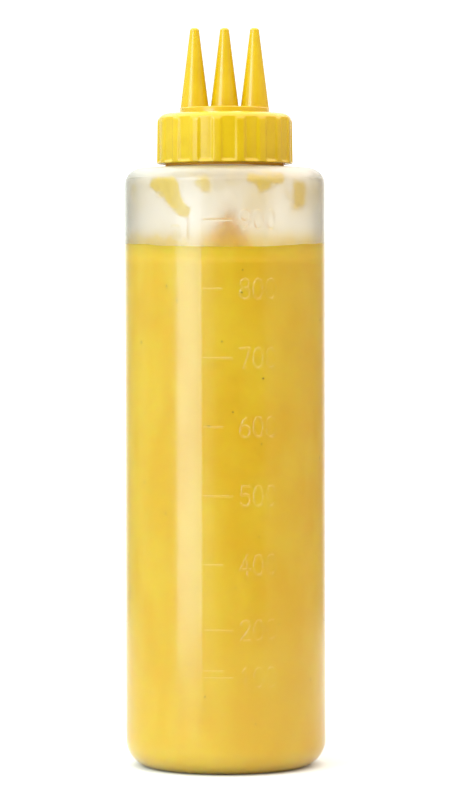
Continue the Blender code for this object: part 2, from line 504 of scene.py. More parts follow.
@dataclass(frozen=True)
class MustardSauce:
    """Smooth mustard sauce, whipped: wet, faintly mottled, and light spreads in it a little."""

    light: str = "#F3D31F"
    deep: str = "#F2D01C"
    crown: str = "#FFDC2A"  # painted light: the top of the sauce drawn paler, where light from above would enter it
    crown_depth: float = 7.0 * MM
    peak: str = "#FFC02E"  # painted shade: the peak drawn a deeper orange, for the shade it stands in
    peak_rise: Point = (1.0 * MM, 4.0 * MM)  # heights over the level between which the painted shade comes in
    roughness: float = 0.28
    ior: float = 1.42
    spread: float = 0.5
    spread_radius: tuple[float, float, float] = (1.0, 0.55, 0.12)
    spread_scale: float = 1.2 * MM
    mottle_size: float = 9.0 * MM
    mottle_contrast: Point = (0.35, 0.65)
    ripple_size: float = 2.5 * MM
    ripple_height: float = 0.03 * MM
    film: str = "#FFE02A"  # a film of it
    crust: str = "#FFC03C"  # painted shade: the orange-brown of the shadowed cleft under the cap
    crusting: Point = (1.2, 2.0)  # values of the film attribute from fresh film to the painted cleft shade
    thin: str = "#FFF7F3"  # what a film pales to as it thins
    paling: Point = (0.1, 0.55)  # thickness from pale to yellow
    hiding: Point = (0.0, 0.8)  # thickness over which it comes to hide what is behind
    densest: float = 0.92  # how much of the light the thickest film stops or scatters
    through: float = 0.4  # share of that light which it passes on to its far side
    streak_size: float = 1.6 * MM
    streak_contrast: Point = (0.3, 0.7)
    streak_cover: Point = (0.85, 1.1)

    def build(self, level: float) -> bpy.types.Material:
        """Makes the material of the sauce that fills the bottle up to a level.

        Args:
            level: Height of the sauce.

        Returns:
            The material.
        """
        material, add, place = start_material("mustard_sauce")
        fine = {**GRAIN, "Scale": 1.0 / self.mottle_size, "Detail": 4.0}
        clouds = add("TexNoise", fine, {0: place})
        mottle = add("MapRange", {FROM: self.mottle_contrast}, {0: clouds})
        body = add("Mix", {**BLEND, ENDS: (self.deep, self.light)}, {0: mottle}, BLENDED)
        height = add("SeparateXYZ", links={0: place}, output="Z")
        # Painted light: the top of the sauce is drawn paler near its level, as if lit from the
        # headspace above.
        top = add("MapRange", {**SMOOTH, FROM: (level - self.crown_depth, level)}, {0: height})
        # Painted shade: above the level the peak is drawn a deeper orange, for the shade it stands
        # in.
        shade_heights = (level + self.peak_rise[0], level + self.peak_rise[1])
        above = add("MapRange", {**SMOOTH, FROM: shade_heights}, {0: height})
        crown = add("Mix", {**BLEND, ENDS: (self.crown, self.peak)}, {0: above}, BLENDED)
        ripples = add("TexNoise", {**GRAIN, "Scale": 1.0 / self.ripple_size}, {0: place})
        settings = {
            "Roughness": self.roughness,
            "IOR": self.ior,
            "Subsurface Weight": self.spread,
            "Subsurface Radius": self.spread_radius,
            "Subsurface Scale": self.spread_scale,
        }
        links = {
            "Base Color": add("Mix", BLEND, {0: top, ENDS[0]: body, ENDS[1]: crown}, BLENDED),
            "Normal": add("Bump", {"Distance": self.ripple_height}, {"Height": ripples}),
        }
        add("OutputMaterial", links={0: add("BsdfPrincipled", settings, links)})
        return material

    def build_film(self) -> bpy.types.Material:
        """Makes the material of a film, which thins out by the piece's film attribute.

        Returns:
            The material.
        """
        material, add, place = start_material("mustard_film")
        thickness = add("Attribute", {"attribute_name": "film"}, output="Fac")
        fine = add("TexNoise", {**GRAIN, "Scale": 1.0 / self.streak_size}, {0: place})
        streaks = add("MapRange", {FROM: self.streak_contrast, TO: self.streak_cover}, {0: fine})
        uneven = add("Math", MULTIPLY, {0: thickness, 1: streaks})
        yellow = add("MapRange", {FROM: self.paling}, {0: uneven})
        fresh = add("Mix", {**BLEND, ENDS: (self.thin, self.film)}, {0: yellow}, BLENDED)
        # Film values past the fresh ones turn to the painted shade of the cleft under the cap.
        crusted = add("MapRange", {FROM: self.crusting}, {0: thickness})
        settings = {**BLEND, ENDS[1]: self.crust}
        colour = add("Mix", settings, {0: crusted, ENDS[0]: fresh}, BLENDED)
        face = add("BsdfPrincipled", {"Roughness": self.roughness}, {"Base Color": colour})
        beyond = add("BsdfTranslucent", links={"Color": colour})
        body = add("MixShader", {0: self.through}, {1: face, 2: beyond})
        settings = {**SMOOTH, FROM: self.hiding, TO: (0.0, self.densest)}
        cover = add("MapRange", settings, {0: uneven})
        shader = add("MixShader", links={0: cover, 1: add("BsdfTransparent"), 2: body})
        add("OutputMaterial", links={0: shader})
        return material


@dataclass(frozen=True)
class MouldedPolypropylene:
    """Yellow polypropylene, injection-moulded: even colour, soft gloss, light sinks in a little."""

    light: str = "#CAA608"
    deep: str = "#C5A006"
    gloss: Point = (0.16, 0.23)
    ior: float = 1.49
    spread: float = 0.25
    spread_radius: tuple[float, float, float] = (1.0, 0.6, 0.08)
    spread_scale: float = 1.5 * MM
    flow_size: float = 8.0 * MM  # faint swirls left by the melt's flow
    tint_contrast: Point = (0.35, 0.65)
    gloss_contrast: Point = (0.3, 0.7)
    skin_size: float = 0.5 * MM  # orange-peel skin of the mould
    skin_height: float = 0.004 * MM

    def build(self) -> bpy.types.Material:
        """Makes the material.

        Returns:
            The material.
        """
        material, add, place = start_material("moulded_polypropylene")
        swirls = {**GRAIN, "Scale": 1.0 / self.flow_size, "Detail": 3.0}
        flow = add("TexNoise", swirls, {0: place})
        skin = add("TexNoise", {**GRAIN, "Scale": 1.0 / self.skin_size}, {0: place})
        tint = add("MapRange", {FROM: self.tint_contrast}, {0: flow})
        settings = {
            "IOR": self.ior,
            "Subsurface Weight": self.spread,
            "Subsurface Radius": self.spread_radius,
            "Subsurface Scale": self.spread_scale,
        }
        links = {
            "Base Color": add("Mix", {**BLEND, ENDS: (self.deep, self.light)}, {0: tint}, BLENDED),
            "Roughness": add("MapRange", {FROM: self.gloss_contrast, TO: self.gloss}, {0: flow}),
            "Normal": add("Bump", {"Distance": self.skin_height}, {"Height": skin}),
        }
        add("OutputMaterial", links={0: add("BsdfPrincipled", settings, links)})
        return material


@dataclass(frozen=True)
class DriedHerb:
    """Flakes of dried herb, matt and rough, soaked dark by the sauce."""

    green: str = "#5E521A"
    brown: str = "#6B4A17"
    roughness: float = 0.75
    patch_size: float = 4.0 * MM
    patch_contrast: Point = (0.4, 0.6)
    vein_size: float = 0.3 * MM
    vein_height: float = 0.05 * MM

    def build(self) -> bpy.types.Material:
        """Makes the material.

        Returns:
            The material.
        """
        material, add, place = start_material("dried_herb")
        patches = add("TexNoise", {**GRAIN, "Scale": 1.0 / self.patch_size}, {0: place})
        share = add("MapRange", {FROM: self.patch_contrast}, {0: patches})
        veins = add("TexNoise", {**GRAIN, "Scale": 1.0 / self.vein_size}, {0: place})
        colours = {**BLEND, ENDS: (self.green, self.brown)}
        links = {
            "Base Color": add("Mix", colours, {0: share}, BLENDED),
            "Normal": add("Bump", {"Distance": self.vein_height}, {"Height": veins}),
        }
        shader = add("BsdfPrincipled", {"Roughness": self.roughness}, links)
        add("OutputMaterial", links={0: shader})
        return material


@dataclass(frozen=True)
class MattePaper:
    """Background paper, uncoated: pale, matt, with a faint tooth, and a painted pool of light round
    the bottle that fades to a darker tone further off.
    """

    light: str = "#E0DFDD"
    deep: str = "#DCDBD9"
    far: str = "#BEBDBC"
    roughness: float = 0.9
    tooth_size: float = 1.2 * MM
    tooth_height: float = 0.02 * MM
    edges: Point = (42.0 * MM, 100.0 * MM)  # painted light: distances at which the painted pool of light starts and ends to fade
    lit_side: float = -26.0 * MM  # how far to the side the middle of the painted pool of light lies

    def build(self) -> bpy.types.Material:
        """Makes the material.

        Returns:
            The material.
        """
        material, add, place = start_material("matte_paper")
        tooth = add("TexNoise", {**GRAIN, "Scale": 1.0 / self.tooth_size}, {0: place})
        near = add("Mix", {**BLEND, ENDS: (self.deep, self.light)}, {0: tooth}, BLENDED)
        # Painted light: the paper is drawn lighter near the bottle, off to its lit side, and darker
        # further away.
        middle = {"operation": "DISTANCE", 1: (self.lit_side, 0.0, 0.0)}
        distance = add("VectorMath", middle, {0: place}, "Value")
        painted_falloff = add("MapRange", {**SMOOTH, FROM: self.edges}, {0: distance})
        far = {**BLEND, ENDS[1]: self.far}
        links = {
            "Base Color": add("Mix", far, {0: painted_falloff, ENDS[0]: near}, BLENDED),
            "Normal": add("Bump", {"Distance": self.tooth_height}, {"Height": tooth}),
        }
        shader = add("BsdfPrincipled", {"Roughness": self.roughness}, links)
        add("OutputMaterial", links={0: shader})
        return material


# ---- The volume scale ----


def strokes_of(sign: str) -> list[list[Point]]:
    """Centre lines of a digit or letter in a cell one unit wide and one unit high.

    Args:
        sign: One character of "0123456789ml".

    Returns:
        The strokes, each a list of points.
    """
    loop = (0.0, 360.0, 20)
    bowl = arc((0.5, 0.29), (0.5, 0.29), *loop)
    six = [bowl, arc((0.95, 0.29), (0.95, 0.71), 180.0, 112.0, 8)]
    shapes = {
        "0": [arc((0.5, 0.5), (0.5, 0.5), 0.0, 360.0, 24)],
        "1": [[(0.2, 0.8), (0.5, 1.0), (0.5, 0.0)]],
        "2": [arc((0.5, 0.72), (0.48, 0.28), 165.0, -35.0, 12) + [(0.0, 0.0), (1.0, 0.0)]],
        "3": [
            arc((0.48, 0.77), (0.44, 0.23), 150.0, -90.0, 12)
            + arc((0.48, 0.27), (0.5, 0.27), 90.0, -150.0, 12)
        ],
        "4": [[(1.0, 0.3), (0.0, 0.3), (0.7, 1.0), (0.7, 0.0)]],
        "5": [
            [(0.92, 1.0), (0.2, 1.0), (0.12, 0.54)]
            + arc((0.48, 0.3), (0.5, 0.3), 125.0, -150.0, 14)
        ],
        "6": six,
        "7": [[(0.0, 1.0), (1.0, 1.0), (0.4, 0.0)]],
        "8": [arc((0.5, 0.27), (0.5, 0.27), *loop), arc((0.5, 0.77), (0.43, 0.23), *loop)],
        "9": [[(1.0 - x, 1.0 - y) for x, y in stroke] for stroke in six],
        "m": [
            [(0.0, 0.0), (0.0, 0.6)],
            arc((0.25, 0.42), (0.25, 0.18), 180.0, 0.0, 8) + [(0.5, 0.0)],
            arc((0.75, 0.42), (0.25, 0.18), 180.0, 0.0, 8) + [(1.0, 0.0)],
        ],
        "l": [[(0.5, 0.0), (0.5, 1.0)]],
    }
    return shapes[sign]


@dataclass
class VolumeScale:
    """The raised scale: a column of ticks with round hundreds of millilitres beside them."""

    pitch: float = 25.3 * MM  # height of 100 ml
    first_volume: int = 400
    first_height: float = 77.9 * MM
    last_volume: int = 900
    low_marks: tuple[tuple[int, float], ...] = ((200, 53.9 * MM), (100, 36.4 * MM))
    extra_tick: float = 38.9 * MM  # a short one over the lowest mark, with no number
    tick_start: float = -7.6 * MM
    digit_start: float = 5.6 * MM
    digit_width: float = 3.6 * MM
    digit_height: float = 7.3 * MM
    digit_pitch: float = 5.0 * MM
    unit_start: float = -20.2 * MM
    unit_share: float = 0.85  # width of the unit's letters as a share of a digit's
    unit_height: float = 197.8 * MM
    crest: float = 0.08 * MM  # half width of a line's flat top
    flank: float = 0.42 * MM  # width over which a line falls off on each side
    relief: float = 0.32 * MM
    shallow_share: float = 0.7  # relief left above the shallow height, near the stiff shoulder
    shallow_height: float = 196.0 * MM
    margin: float = 1.0 * MM  # of closely spaced rows past the digits

    def marks(self) -> list[tuple[int, float, Tick]]:
        """Volume, height and tick of each numbered mark, from the lowest up.

        Returns:
            The marks.
        """
        low = [(volume, height, Tick.LONG) for volume, height in reversed(self.low_marks)]
        hundreds = range(self.first_volume, self.last_volume + 1, 100)
        high = [
            (
                volume,
                self.first_height + step * self.pitch,
                Tick.LONG if volume % 200 else Tick.SHORT,
            )
            for step, volume in enumerate(hundreds)
        ]
        return low + high

    def bands(self) -> list[Point]:
        """The stretches of wall, (bottom, top), that hold raised lines.

        Returns:
            The stretches, from the lowest up.
        """
        half = 0.5 * self.digit_height + self.margin
        found = [(height - half, height + half) for _, height, _ in self.marks()]
        foot, top = found[-1]
        found[-1] = (min(foot, self.unit_height - self.margin), top)
        return found

    def lines(self) -> list[np.ndarray]:
        """Every raised line as points of (length along the wall from the front, height).

        Returns:
            The lines of ticks, digits and unit.
        """
        end = self.tick_start + Tick.SHORT.value
        found = [[(self.tick_start, self.extra_tick), (end, self.extra_tick)]]
        for volume, height, tick in self.marks():
            found.append([(self.tick_start, height), (self.tick_start + tick.value, height)])
            for place, digit in enumerate(str(volume)):
                corner = (
                    self.digit_start + place * self.digit_pitch,
                    height - 0.5 * self.digit_height,
                )
                found += self.written(digit, corner, self.digit_width)
        for place, letter in enumerate("ml"):
            corner = (self.unit_start + place * self.digit_pitch, self.unit_height)
            found += self.written(letter, corner, self.unit_share * self.digit_width)
        return [np.array(line) for line in found]

    def written(self, sign: str, corner: Point, width: float) -> list[list[Point]]:
        """One sign's lines at a place and a width.

        Args:
            sign: The digit or letter.
            corner: Place of its lower left corner.
            width: Its width.

        Returns:
            Its lines.
        """
        return [
            [(corner[0] + x * width, corner[1] + y * self.digit_height) for x, y in stroke]
            for stroke in strokes_of(sign)
        ]

    def distances(self, along: np.ndarray, height: np.ndarray, reach: float) -> np.ndarray:
        """How far places on the wall lie from the nearest line.

        Args:
            along: Length along the wall from the front, one per place.
            height: Height, one per place.
            reach: Distance past which a place isn't measured.

        Returns:
            The distance of each place, infinite past the reach.
        """
        nearest = np.full(len(along), np.inf)
        for line in self.lines():
            low, high = line.min(axis=0) - reach, line.max(axis=0) + reach
            near = np.flatnonzero(
                (along > low[0]) & (along < high[0]) & (height > low[1]) & (height < high[1])
            )
            places = np.stack([along[near], height[near]], axis=1)
            for ends in zip(line, line[1:], strict=False):
                nearest[near] = np.minimum(nearest[near], beside(places, *ends)[1])
        return nearest

    def raised(self, along: np.ndarray, height: np.ndarray) -> np.ndarray:
        """How far each place on the wall is raised, between 0 and 1.

        Args:
            along: Length along the wall from the front, one per place.
            height: Height, one per place.

        Returns:
            The share of the relief at each place.
        """
        reach = self.crest + self.flank
        rise = 1.0 - smooth_step(self.crest, reach, self.distances(along, height, reach))
        return rise * np.where(height > self.shallow_height, self.shallow_share, 1.0)


# ---- The object's pieces ----


@dataclass
class Piece:
    """What the sub-assemblies share: each has sizes, models its piece and dresses it."""

    slot: Slot = Slot.SAUCE
    replaced: tuple[str, ...] = ()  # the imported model's nodes that the piece stands for

    def dress(self, piece: bpy.types.Object, material: bpy.types.Material) -> None:
        """Gives a finished piece its material, its body and what it replaces.

        Args:
            piece: The finished piece.
            material: Its material.
        """
        piece.data.materials.clear()
        piece.data.materials.append(material)
        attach(piece, ROOT)
        if self.replaced:
            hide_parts(*self.replaced)
        LOG.info("%s: %d faces", piece.name, len(piece.data.polygons))


@dataclass
class Bottle(Piece):
    """The blown bottle: wall, shoulder, neck and base in one shell, with the raised scale."""

    slot: Slot = Slot.BOTTLE
    replaced: tuple[str, ...] = ("bottle",)
    radius: float = 37.5 * MM
    wall: float = 1.0 * MM
    shoulder_corner: float = 6.2 * MM
    shoulder_slope: float = 4.0  # degrees
    shoulder_top: float = 225.0 * MM
    base_corner: float = 9.5 * MM
    ring_inner: float = 24.5 * MM
    push_up: float = 1.8 * MM
    base_thickness: float = 1.2 * MM
    neck_radius: float = 22.0 * MM
    neck_bore: float = 20.4 * MM
    root_fillet: float = 0.8 * MM
    lip_round: float = 0.4 * MM
    scale_row: float = 0.62 * MM  # spacing of the wall's rows along the scale
    plain_row: float = 3.0 * MM  # and elsewhere
    refined_run: float = 0.75  # rows past the scale's lines up to which faces are divided
    support: float = 0.5 * MM  # from a corner to the row that keeps the wall next to it straight
    cuts: int = 3  # through each face near the scale's lines
    roof_share: float = 0.94  # how far up the shoulder's inner corner the roof is measured
    sector_start: float = -33.0  # degrees
    sectors: tuple[tuple[float, int], ...] = ((66.0, 73), (132.9, 27), (1.8, 2), (159.3, 32))
    parting_azimuth: float = math.radians(-13.2)
    parting_width: float = 0.55 * MM
    parting_height: float = 0.08 * MM

    @property
    def neck_top(self) -> float:
        """Height of the neck's lip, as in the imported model."""
        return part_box("bottle")[1][2]

    @property
    def inner_radius(self) -> float:
        """Radius of the space inside the wall."""
        return self.radius - self.wall

    @property
    def middle_radius(self) -> float:
        """Radius halfway through the wall."""
        return self.radius - 0.5 * self.wall

    @property
    def neck_root(self) -> Point:
        """Centre of the fillet where the neck's outside meets the shoulder."""
        return self.neck_radius + self.root_fillet, self.shoulder_top + self.root_fillet

    def shoulder_centre(self) -> Point:
        """Centre of the shoulder's corner, which the slope meets without a step.

        Returns:
            Its radius and height.
        """
        slope = math.radians(self.shoulder_slope)
        radius = self.radius - self.shoulder_corner
        slope_end = radius + self.shoulder_corner * math.sin(slope)
        run = slope_end - self.neck_radius - self.root_fillet
        drop = run * math.tan(slope) + self.shoulder_corner * math.cos(slope)
        return radius, self.shoulder_top - drop

    @property
    def roof(self) -> float:
        """Height near the top of the shoulder's corner, inside."""
        return self.shoulder_centre()[1] + self.roof_share * (self.shoulder_corner - self.wall)

    def dome(self, lift: float = 0.0) -> list[Point]:
        """The base's push-up from its rim to the axis.

        Args:
            lift: How far it is raised.

        Returns:
            The points in order.
        """
        shares = (1.0, 0.9, 0.75, 0.5, 0.25, 0.0)
        return [
            (self.ring_inner * share, lift + self.push_up * (1.0 - share**2)) for share in shares
        ]

    def side_rows(self, scale: VolumeScale) -> list[float]:
        """Heights of the outer wall's rows, from the top down, close together at the scale.

        Args:
            scale: The scale on the wall.

        Returns:
            The heights, without those of the wall's two ends.
        """
        edges = [self.base_corner]
        for low, high in scale.bands():
            edges += [max(low, edges[-1]), high]
        edges.append(self.shoulder_centre()[1])
        rows = [edges[-1] - self.support]
        for index, (low, high) in enumerate(zip(edges, edges[1:], strict=False)):
            size = self.scale_row if index % 2 else self.plain_row
            count = max(1, round((high - low) / size))
            rows += [low + (high - low) * step / count for step in range(count)]
        return sorted(rows, reverse=True)[:-1]

    def outline(self, scale: VolumeScale) -> list[Point]:
        """The shell's section: up the inside from the axis, over the lip and down the outside.

        Args:
            scale: The scale on the wall.

        Returns:
            The points in order.
        """
        slope = 90.0 - self.shoulder_slope
        shoulder, base = self.shoulder_centre(), (self.radius - self.base_corner, self.base_corner)
        inside = self.dome(self.base_thickness)[::-1]
        inside += arc(base, self.base_corner - self.wall, -90.0, 0.0, 12)
        foot = (self.inner_radius, self.base_corner + self.support)
        inside += straight(foot, (self.inner_radius, shoulder[1] - self.support), 5)
        inside += arc(shoulder, self.shoulder_corner - self.wall, 0.0, slope, 10)
        run = inside[-1][0] - self.neck_bore - self.root_fillet
        root = inside[-1][1] + run * math.tan(math.radians(self.shoulder_slope))
        fillet, lip = self.root_fillet, self.lip_round
        inside += arc((self.neck_bore + fillet, root + fillet), fillet, 270.0, 180.0, 3)

        mouth = [(self.neck_bore, self.neck_top)]
        mouth += arc((self.neck_radius - lip, self.neck_top - lip), lip, 90.0, 0.0, 4)
        outside = arc(self.neck_root, fillet, 180.0, 270.0, 4)
        outside += arc(shoulder, self.shoulder_corner, slope, 0.0, 14)
        outside += [(self.radius, height) for height in self.side_rows(scale)]
        outside += arc(base, self.base_corner, 0.0, -90.0, 16)
        return inside + mouth + outside + self.dome()

    def refine(self, shell: bpy.types.Object, scale: VolumeScale) -> None:
        """Divides the wall's faces near the scale's lines and sets the new points on the wall.

        Args:
            shell: The turned shell.
            scale: The scale that will be raised on it.
        """
        flat = np.empty(3 * len(shell.data.polygons))
        shell.data.polygons.foreach_get("center", flat)
        x, y, height = flat.reshape(-1, 3).T
        along = np.arctan2(x, -y) * self.radius
        outer = np.hypot(x, y) > self.middle_radius
        reach = scale.crest + scale.flank + self.refined_run * self.scale_row
        near = outer & (scale.distances(along, height, 2.0 * reach) < reach)
        edit(shell)
        bpy.ops.mesh.select_mode(type="FACE")
        leave_edit()
        shell.data.polygons.foreach_set("select", near)
        bpy.ops.object.mode_set(mode="EDIT")
        bpy.ops.mesh.subdivide(number_cuts=self.cuts)
        bpy.ops.mesh.select_mode(type="VERT")
        leave_edit()
        radius, azimuth, height = cylindrical(shell)
        side = (height > self.base_corner) & (height < self.shoulder_centre()[1])
        side &= radius > self.middle_radius
        place_points(shell, np.where(side, self.radius, radius), azimuth, height)

    def build(self, scale: VolumeScale) -> bpy.types.Object:
        """Models the shell, then raises the scale and the mould's parting lines.

        Args:
            scale: The scale to raise on it.

        Returns:
            The finished shell.
        """
        sectors = [(math.radians(angle), steps) for angle, steps in self.sectors]
        start = math.radians(self.sector_start)
        shell = turn("bottle_shell", self.outline(scale), sectors, start)
        self.refine(shell, scale)
        radius, azimuth, height = cylindrical(shell)
        outer = radius > self.middle_radius
        raised = np.where(outer, scale.raised(azimuth * self.radius, height), 0.0)
        weigh(shell, "scale", raised)
        from_line = azimuth - self.parting_azimuth + 0.5 * math.pi
        opposite = from_line % math.pi - 0.5 * math.pi
        fall = 1.0 - smooth_step(0.0, self.parting_width, np.abs(opposite) * self.radius)
        weigh(shell, "parting", np.where(outer, fall * (1.0 - raised), 0.0))
        for group, lift in (("scale", scale.relief), ("parting", self.parting_height)):
            apply_modifier(shell, "DISPLACE", strength=lift, mid_level=0.0, vertex_group=group)
        bpy.ops.object.shade_smooth()
        return shell


@dataclass
class Cap(Piece):
    """The screw cap: grip panels between ribs, the raised disc and the three tips, in one piece."""

    slot: Slot = Slot.CAP
    replaced: tuple[str, ...] = ("cap",)
    plate: float = 1.8 * MM
    bore: float = 23.2 * MM
    bore_edge: float = 0.3 * MM  # round of the bore's lower edge
    bore_roof: float = 1.0 * MM  # and of its upper corner
    skirt_past: float = 0.4 * MM  # points this far outside the bore are the skirt's outside
    corner: float = 3.5 * MM
    bottom: float = 226.0 * MM
    top: float = 244.8 * MM
    skirt_top_radius: float = 25.27 * MM
    rim_radius: float = 25.5 * MM
    rim_round: float = 0.6 * MM
    panel_run: float = 1.5 * MM  # height above the lower edge over which a panel runs out
    panel_drop: float = 1.25 * MM  # from the cap's top down to the panels' tops
    panel_radius: float = 24.8 * MM
    panel_corner: float = 0.9 * MM
    panel_edge: float = 0.6 * MM  # half width of the slope between rib and panel
    rib_count: int = 18
    first_rib: float = math.radians(-6.4)
    rib_half: float = math.radians(4.0)
    columns_per_rib: int = 20
    row: float = 0.45 * MM
    disc_radius: float = 16.6 * MM
    disc_fillet: float = 0.3 * MM
    disc_top: float = 247.0 * MM
    disc_round: float = 0.4 * MM
    tip_spacing: float = 11.24 * MM
    tip_base: float = 5.33 * MM
    tip_taper: float = 0.124
    tip_round: float = 1.1 * MM
    tip_fillet: float = 0.22 * MM
    tip_steps: int = 64
    tip_rows: int = 24
    outlet: float = 0.5 * MM
    bore_base: float = 4.3 * MM
    bore_past: float = 1.0 * MM  # how far the cutting shape runs on past a tip's both ends
    smooth_angle: float = math.radians(32.0)  # edges sharper than this stay sharp

    @property
    def tip_top(self) -> float:
        """Height of the tips' ends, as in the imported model."""
        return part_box("cap")[1][2]

    def outline(self) -> list[Point]:
        """The section over the ribs, from the disc down the outside and up the inside.

        Returns:
            The points in order.
        """
        corner = (self.skirt_top_radius - self.corner, self.top - self.corner)
        disc, ledge, rim = self.disc_round, self.disc_fillet, self.rim_round
        outside = [(0.0, self.disc_top), (0.5 * self.disc_radius, self.disc_top)]
        outside += arc((self.disc_radius - disc, self.disc_top - disc), disc, 90.0, 0.0, 5)
        outside += arc((self.disc_radius + ledge, self.top + ledge), ledge, 180.0, 270.0, 3)
        outside += arc(corner, self.corner, 90.0, 0.0, 14)
        foot = (self.rim_radius, self.bottom + rim)
        count = round((corner[1] - foot[1]) / self.row)
        outside += straight((self.skirt_top_radius, corner[1]), foot, count)[1:]
        outside += arc((self.rim_radius - rim, foot[1]), rim, 0.0, -90.0, 5)[1:]
        under, edge, roof = self.top - self.plate, self.bore_edge, self.bore_roof
        inside = arc((self.bore + edge, self.bottom + edge), edge, 270.0, 180.0, 3)
        inside += arc((self.bore - roof, under - roof), roof, 0.0, 90.0, 5)
        return outside + inside + [(0.0, under)]

    def sink_panels(self, cap: bpy.types.Object) -> None:
        """Sinks a panel between each two ribs, which runs out towards the lower edge.

        Args:
            cap: The turned cap.
        """
        radius, azimuth, height = cylindrical(cap)
        pitch = FULL_TURN / self.rib_count
        from_middle = (azimuth - self.first_rib) % pitch - 0.5 * pitch
        half_width = (0.5 * pitch - self.rib_half) * self.rim_radius
        across = np.abs(from_middle) * radius - (half_width - self.panel_corner)
        up = height - (self.top - self.panel_drop - self.panel_corner)
        outward = np.hypot(np.maximum(across, 0.0), np.maximum(up, 0.0))
        distance = outward + np.minimum(np.maximum(across, up), 0.0) - self.panel_corner
        depth = 1.0 - smooth_step(-self.panel_edge, self.panel_edge, distance)
        depth *= smooth_step(self.bottom, self.bottom + self.panel_run, height)
        sunk = np.minimum(radius, self.panel_radius)
        skirt = radius > self.bore + self.skirt_past
        placed = np.where(skirt, radius + depth * (sunk - radius), radius)
        place_points(cap, placed, azimuth, height)

    def tip_outline(self) -> list[Point]:
        """One tip's outside on its own axis, from its end down into the plate.

        Returns:
            The points in order.
        """
        foot = self.top - 0.5 * self.plate
        shoulder = self.tip_top - self.tip_round
        end = self.tip_base - self.tip_taper * (shoulder - self.disc_top)
        widest, root = self.tip_base + self.tip_fillet, self.disc_top + self.tip_fillet
        outline = [(0.0, self.tip_top)]
        outline += arc((end - self.tip_round, shoulder), self.tip_round, 90.0, 0.0, 10)
        outline += straight((end, shoulder), (self.tip_base, root), self.tip_rows)[1:-1]
        outline += arc((widest, root), self.tip_fillet, 180.0, 260.0, 4)
        return outline + [(widest, foot), (0.0, foot)]

    def bore_outline(self) -> list[Point]:
        """The hollow of one tip on its own axis, past both of its ends.

        Returns:
            The points in order.
        """
        under, past = self.top - self.plate, self.bore_past
        slope = (self.bore_base - self.outlet) / (self.tip_top - under)
        top_radius, foot_radius = self.outlet - slope * past, self.bore_base + slope * past
        top, foot = self.tip_top + past, under - past
        return [(0.0, top), (top_radius, top), (foot_radius, foot), (0.0, foot)]

    def row_of(self, name: str, outline: list[Point]) -> bpy.types.Object:
        """One turned solid per tip, joined, each at its tip's place along X.

        Args:
            name: Name of the joined object.
            outline: The section of each solid.

        Returns:
            The joined object.
        """
        first = turn(name, outline, [(FULL_TURN, self.tip_steps)])
        shift = Vector((self.tip_spacing, 0.0, 0.0))
        return join(name, [first, copy_of(first, shift), copy_of(first, -shift)])

    def build(self) -> bpy.types.Object:
        """Models the cap with its ribs, disc and hollow tips.

        Returns:
            The finished cap.
        """
        columns = self.rib_count * self.columns_per_rib
        cap = turn("cap_shell", self.outline(), [(FULL_TURN, columns)], self.first_rib)
        self.sink_panels(cap)
        tips = self.row_of("tips", self.tip_outline())
        bores = self.row_of("bores", self.bore_outline())
        for tool, operation in ((tips, "UNION"), (bores, "DIFFERENCE")):
            apply_modifier(cap, "BOOLEAN", operation=operation, solver="EXACT", object=tool)
            discard(tool)
        bpy.ops.object.shade_smooth_by_angle(angle=self.smooth_angle)
        return cap


